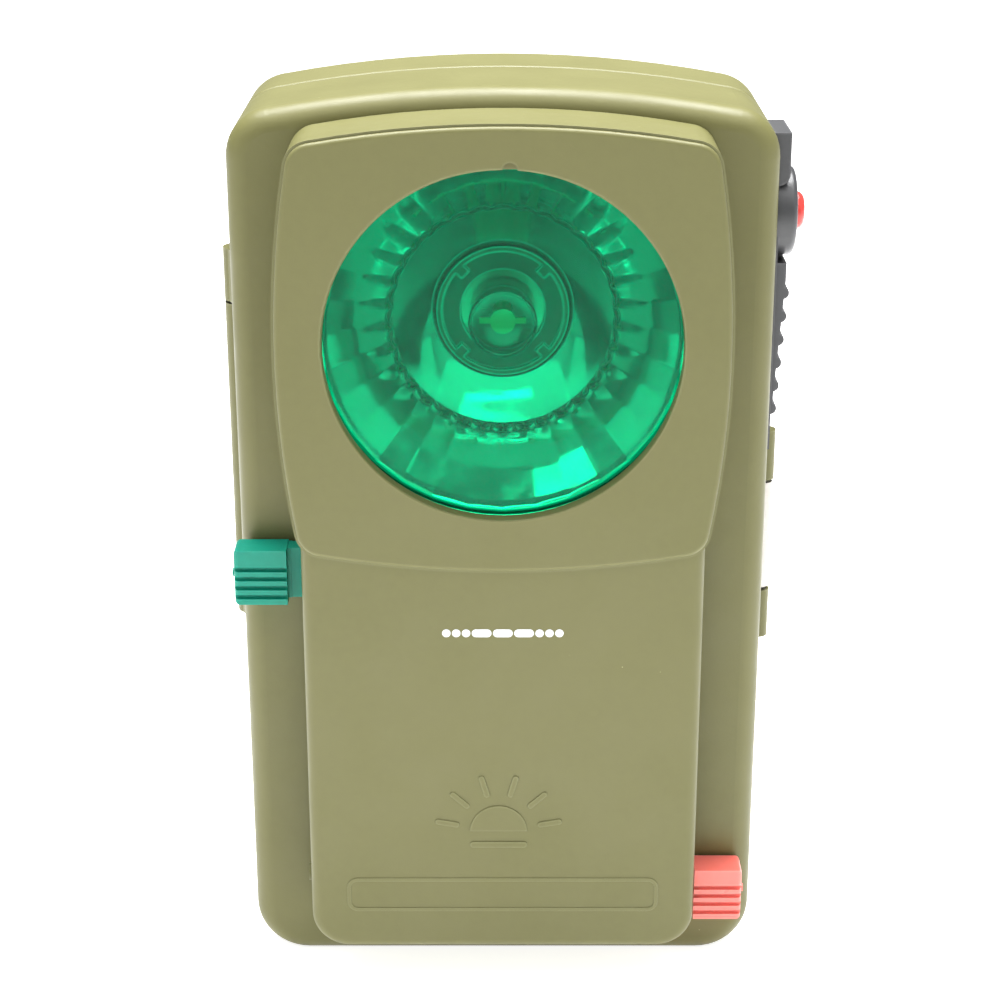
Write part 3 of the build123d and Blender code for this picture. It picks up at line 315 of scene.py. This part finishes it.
FINISHES = {
    "front_casing": olive, "rear_cover": olive, "front_cover": olive,
    "switch_housing": black, "thumb_slider": black, "switch_base": black,
    "signal_button": signal_red, "green_slider": teal, "red_slider": coral,
    "green_filter": green_clear, "red_filter": red_clear, "clear_lens": clear_plastic,
    "bulb_glass": bulb_glass, "reflector": mirror, "lamp_holder": dark_grey,
    "bulb_emitter": emitter, "latch": nickel, "bulb_cap": nickel, "hinge_pin": nickel,
    "latch_pin": nickel, "cover_screws": steel, "switch_screws": steel,
    "lamp_contact": brass, "shell_contact": brass, "supply_contact": brass,
    "contact_rivets": brass, "battery_terminals": brass, "slider_contact": brass,
    "signal_spring": brass, "battery": jacket, "belt_clip": spring_steel,
    "clip_rivets": spring_steel,
}
for node, finish in FINISHES.items():
    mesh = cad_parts[node].data
    mesh.materials.clear()
    mesh.materials.append(finish)


# ---------------------------------------------------------------- pieces
def piece(name, mesh, finish, body):
    """A new visible piece that rides on a CAD body."""
    made = bpy.data.objects.new(name, mesh)
    scene.collection.objects.link(made)
    mesh.materials.append(finish)
    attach(made, body)
    return made


# ---------------------------------------------------------------- reflector, about the lamp's axis
# A smooth bowl, a scalloped step, two rows of flat facets outside it and a faceted rim, with a
# skirt that stands on the casing and a neck for the lamp holder.
lens_low, lens_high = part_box("clear_lens")
lamp = (lens_low + lens_high) / 2
FOCAL = 8.8 * MM
VERTEX_Y = -5.0 * MM
RIM_Y = -21.8 * MM
RIM_EDGE = 0.3 * MM
RIM_EASE = 0.8 * MM         # width over which the facets run level into the rim
SKIRT_END_Y = -16.5 * MM
SKIRT_ROOT_Y = -20.0 * MM
NECK_END_Y = -1.0 * MM
NECK_RADIUS = 9.6 * MM
NECK_WALL = 1.2 * MM
STEP_RADIUS = 15.9 * MM
SCALLOP_OUT = 0.25 * MM
SCALLOP_IN = 0.30 * MM
MIDDLE_RADIUS = 20.6 * MM   # where the two rows of facets meet
BOWL_RADIUS = 25.6 * MM
RIM_RADIUS = 26.1 * MM
SKIRT_RADIUS = 27.0 * MM
FACET_SINK = 0.10 * MM
BACK_OUT = 0.9 * MM         # the back of the bowl lies this far outward
BACK_BEHIND = 1.8 * MM      # and this far behind the front
FACETS = 32
RIM_FACETS = 64
PER_FACET = 12
STEPS = FACETS * PER_FACET
SMOOTH_ROWS = 16
FACET_ROWS = 20


def bowl_y(radius):
    """Depth of the bowl: a paraboloid, and a cone under the outer row of facets."""
    curved = VERTEX_Y - min(radius, MIDDLE_RADIUS) ** 2 / (4 * FOCAL)
    outward = max(0.0, (radius - MIDDLE_RADIUS) / (BOWL_RADIUS - MIDDLE_RADIUS))
    return curved + (RIM_Y - curved) * outward


def facet_y(radius, part):
    """Depth on a flat facet; part runs from 0 to 1 across the facet."""
    inner, outer = STEP_RADIUS, MIDDLE_RADIUS
    if radius >= MIDDLE_RADIUS:
        inner, outer = MIDDLE_RADIUS, BOWL_RADIUS
    share = (radius * math.cos((part * 2 - 1) * math.pi / FACETS) - inner) / (outer - inner)
    flat = bowl_y(inner) + (bowl_y(outer) - bowl_y(inner)) * share - FACET_SINK
    ease = max(0.0, (radius - BOWL_RADIUS + RIM_EASE) / RIM_EASE)
    return flat + (RIM_Y - flat) * ease


def scallop(part):
    """Radius of the scalloped step; part runs from 0 to 1 across a facet."""
    return STEP_RADIUS + (SCALLOP_OUT + SCALLOP_IN) * abs(math.cos(math.pi * part)) ** 1.5 - SCALLOP_IN


def rim_chord(step):
    """Share of a radius at which a side of the faceted rim lies."""
    half = math.pi / RIM_FACETS
    part = (step * RIM_FACETS / STEPS) % 1
    return math.cos(half) / math.cos((part * 2 - 1) * half)


def ring(shape, points):
    """A ring of vertices from one (radius, depth) for each step round the lamp."""
    vertices = []
    for step, (radius, y) in enumerate(points):
        angle = 2 * math.pi * step / STEPS
        vertices.append(shape.verts.new((radius * math.cos(angle), y, radius * math.sin(angle))))
    return vertices


def reflector_mesh():
    parts = [(step % PER_FACET) / PER_FACET for step in range(STEPS)]
    chords = [rim_chord(step) for step in range(STEPS)]
    smooth = [NECK_RADIUS + (STEP_RADIUS - NECK_RADIUS) * i / SMOOTH_ROWS for i in range(SMOOTH_ROWS)]
    faceted = [STEP_RADIUS + (BOWL_RADIUS - STEP_RADIUS) * i / FACET_ROWS for i in range(2, FACET_ROWS + 1)]
    rim = [(RIM_RADIUS - RIM_EDGE, RIM_Y), (RIM_RADIUS, RIM_Y - RIM_EDGE / 3), (RIM_RADIUS, lens_high.y)]
    skirt = [(SKIRT_RADIUS, lens_high.y), (SKIRT_RADIUS, SKIRT_END_Y)]
    skirt_inside = [(RIM_RADIUS, SKIRT_END_Y), (RIM_RADIUS, SKIRT_ROOT_Y)]
    behind = smooth[2:] + [STEP_RADIUS, STEP_RADIUS + (BOWL_RADIUS - STEP_RADIUS) / FACET_ROWS] + faceted[:-2]
    back = [(r + BACK_OUT, bowl_y(r) + BACK_BEHIND) for r in reversed(behind)]
    neck = [(NECK_RADIUS + NECK_WALL, NECK_END_Y), (NECK_RADIUS, NECK_END_Y)]

    shape = bmesh.new()
    rings = [ring(shape, [(r, bowl_y(r))] * STEPS) for r in smooth]
    rings.append(ring(shape, [(scallop(p), bowl_y(scallop(p))) for p in parts]))
    rings.append(ring(shape, [(scallop(p), facet_y(max(scallop(p), STEP_RADIUS), p)) for p in parts]))
    rings += [ring(shape, [(r, facet_y(r, p)) for p in parts]) for r in faceted]
    rings += [ring(shape, [(r * c, y) for c in chords]) for r, y in rim]
    rings += [ring(shape, [point] * STEPS) for point in skirt]
    rings += [ring(shape, [(r * c, y) for c in chords]) for r, y in skirt_inside]
    rings += [ring(shape, [point] * STEPS) for point in back + neck]
    rings.append(rings[0])
    for near, far in zip(rings, rings[1:]):
        for step in range(STEPS):
            after = (step + 1) % STEPS
            shape.faces.new((near[step], near[after], far[after], far[step]))
    bmesh.ops.recalc_face_normals(shape, faces=shape.faces)
    for face in shape.faces:
        face.smooth = True
    mesh = bpy.data.meshes.new("reflector_bowl")
    shape.to_mesh(mesh)
    shape.free()
    mesh.transform(Matrix.Translation((lamp.x, 0, lamp.z)))
    return mesh


bowl = piece("reflector_bowl", reflector_mesh(), mirror, "casing")
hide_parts("reflector")


# ---------------------------------------------------------------- low marks on the front, in millimetres
def rounded(center, size, corner, steps=6):
    """Corners of a rounded rectangle in the X-Z plane."""
    points = []
    for turn, (sx, sz) in enumerate(((1, 1), (-1, 1), (-1, -1), (1, -1))):
        for step in range(steps + 1):
            angle = math.pi / 2 * (turn + step / steps)
            points.append((center[0] + sx * (size[0] / 2 - corner) + corner * math.cos(angle),
                           center[1] + sz * (size[1] / 2 - corner) + corner * math.sin(angle)))
    return points


def turned_bar(center, distance, angle, size, corner):
    """A rounded bar whose middle lies at a distance and angle from a centre, along that angle."""
    points = []
    for along, across in rounded((distance, 0), size, corner):
        points.append((center[0] + along * math.cos(angle) - across * math.sin(angle),
                       center[1] + along * math.sin(angle) + across * math.cos(angle)))
    return points


def half_disc(center, radius, steps):
    """Corners of the upper half of a disc in the X-Z plane."""
    angles = [math.pi * i / steps for i in range(steps + 1)]
    return [(center[0] + radius * math.cos(a), center[1] + radius * math.sin(a)) for a in angles]


def relief_mesh(name, outlines, face_y, rise, root, bevel):
    """Low shapes on a front face, with rounded edges; an outline may be a pair (outer, inner)."""
    shape = bmesh.new()
    for outline in outlines:
        outer, inner = outline if isinstance(outline, tuple) else (outline, None)
        loops = [outer] if inner is None else [outer, inner]
        fronts = []
        for points in loops:
            front = [shape.verts.new((x * MM, (face_y - rise) * MM, z * MM)) for x, z in points]
            low = [shape.verts.new((x * MM, (face_y + root) * MM, z * MM)) for x, z in points]
            for here in range(len(points)):
                after = (here + 1) % len(points)
                shape.faces.new((front[here], front[after], low[after], low[here]))
            fronts.append(front)
        if inner is None:
            shape.faces.new(fronts[0])
        else:
            for here in range(len(outer)):
                after = (here + 1) % len(outer)
                shape.faces.new((fronts[0][here], fronts[0][after], fronts[1][after], fronts[1][here]))
    bmesh.ops.recalc_face_normals(shape, faces=shape.faces)
    rims = [e for e in shape.edges if len(e.link_faces) == 2
            and all(abs(v.co.y - (face_y - rise) * MM) < 1e-7 for v in e.verts)
            and e.calc_face_angle(0) > 0.5]
    bmesh.ops.bevel(shape, geom=rims, offset=bevel * MM, segments=3, profile=0.5, affect="EDGES")
    for face in shape.faces:
        face.smooth = len(face.verts) == 4
    mesh = bpy.data.meshes.new(name)
    shape.to_mesh(mesh)
    shape.free()
    return mesh


cover_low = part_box("front_cover")[0]
BEZEL_Y = cover_low.y / MM
PANEL_Y = BEZEL_Y + 1.0

# A printed row: dots, dashes, dots.
PRINT_Z = 59.1
PRINT_START = -8.6
DOT = 1.2
DASH = 2.8
SPACE = 0.2
marks = []
cursor = PRINT_START
for width in [DOT] * 3 + [DASH] * 3 + [DOT] * 3:
    marks.append(rounded((cursor + width / 2, PRINT_Z), (width, DOT), 0.59))
    cursor += width + SPACE
print_mesh = relief_mesh("panel_print", marks, PANEL_Y, 0.03, 0.05, 0.01)
piece("panel_print", print_mesh, white_ink, "casing")

# A raised sign: a lamp with rays over a bar.
SIGN = (-0.6, 27.5)
rays = [turned_bar(SIGN, 7.6, math.radians(a), (3.6, 0.9), 0.44) for a in (10, 42, 74, 106, 138, 170)]
foot = rounded((SIGN[0], SIGN[1] - 2.2), (8.4, 1.0), 0.45)
sign_mesh = relief_mesh("panel_sign", [half_disc(SIGN, 4.2, 24)] + rays + [foot], PANEL_Y, 0.16, 0.15, 0.10)
piece("panel_sign", sign_mesh, olive, "casing")

# A raised blank frame.
FRAME_PLACE = (0, 16.9)
FRAME_SIZE = (46.0, 5.6)
FRAME_LINE = 0.6
frame_outer = rounded(FRAME_PLACE, FRAME_SIZE, 1.6)
frame_inner = rounded(FRAME_PLACE, [length - 2 * FRAME_LINE for length in FRAME_SIZE], 1.0)
frame_mesh = relief_mesh("panel_frame", [(frame_outer, frame_inner)], PANEL_Y, 0.12, 0.15, 0.08)
piece("panel_frame", frame_mesh, olive, "casing")

# Floor of the shallow half-round notch at the top of the window.
WINDOW_RADIUS = 24.5
NOTCH = (0.9, lamp.z / MM + WINDOW_RADIUS)
notch_mesh = relief_mesh("window_notch", [half_disc(NOTCH, 1.0, 16)], BEZEL_Y + 0.75, 0.0, 0.45, 0.02)
piece("window_notch", notch_mesh, olive, "casing")

# ---------------------------------------------------------------- floor, glowing a little less in front
floor_material, floor_tree, floor_shader = new_material("floor", (0.85, 0.85, 0.85), 0.6)
floor_shader.inputs["Emission Color"].default_value = (1, 1, 1, 1)
floor_place = floor_tree.nodes.new("ShaderNodeTexCoord")
floor_split = floor_tree.nodes.new("ShaderNodeSeparateXYZ")
floor_tree.links.new(floor_place.outputs["Object"], floor_split.inputs[0])
floor_glow = spread(floor_tree, floor_split.outputs["Y"], 0.58, 0.82, -0.42, -0.10)
floor_tree.links.new(floor_glow, floor_shader.inputs["Emission Strength"])
floor_tint = mix(floor_tree, noise(floor_tree, 4, 2), (0.86, 0.86, 0.86), (0.84, 0.84, 0.84))
floor_tree.links.new(floor_tint, floor_shader.inputs["Base Color"])
floor_mesh = bpy.data.meshes.new("floor")
HALF = 4.0
corners = [(-HALF, -HALF, 0), (HALF, -HALF, 0), (HALF, HALF, 0), (-HALF, HALF, 0)]
floor_mesh.from_pydata(corners, [], [(0, 1, 2, 3)])
floor_mesh.materials.append(floor_material)
floor = bpy.data.objects.new("floor", floor_mesh)
scene.collection.objects.link(floor)
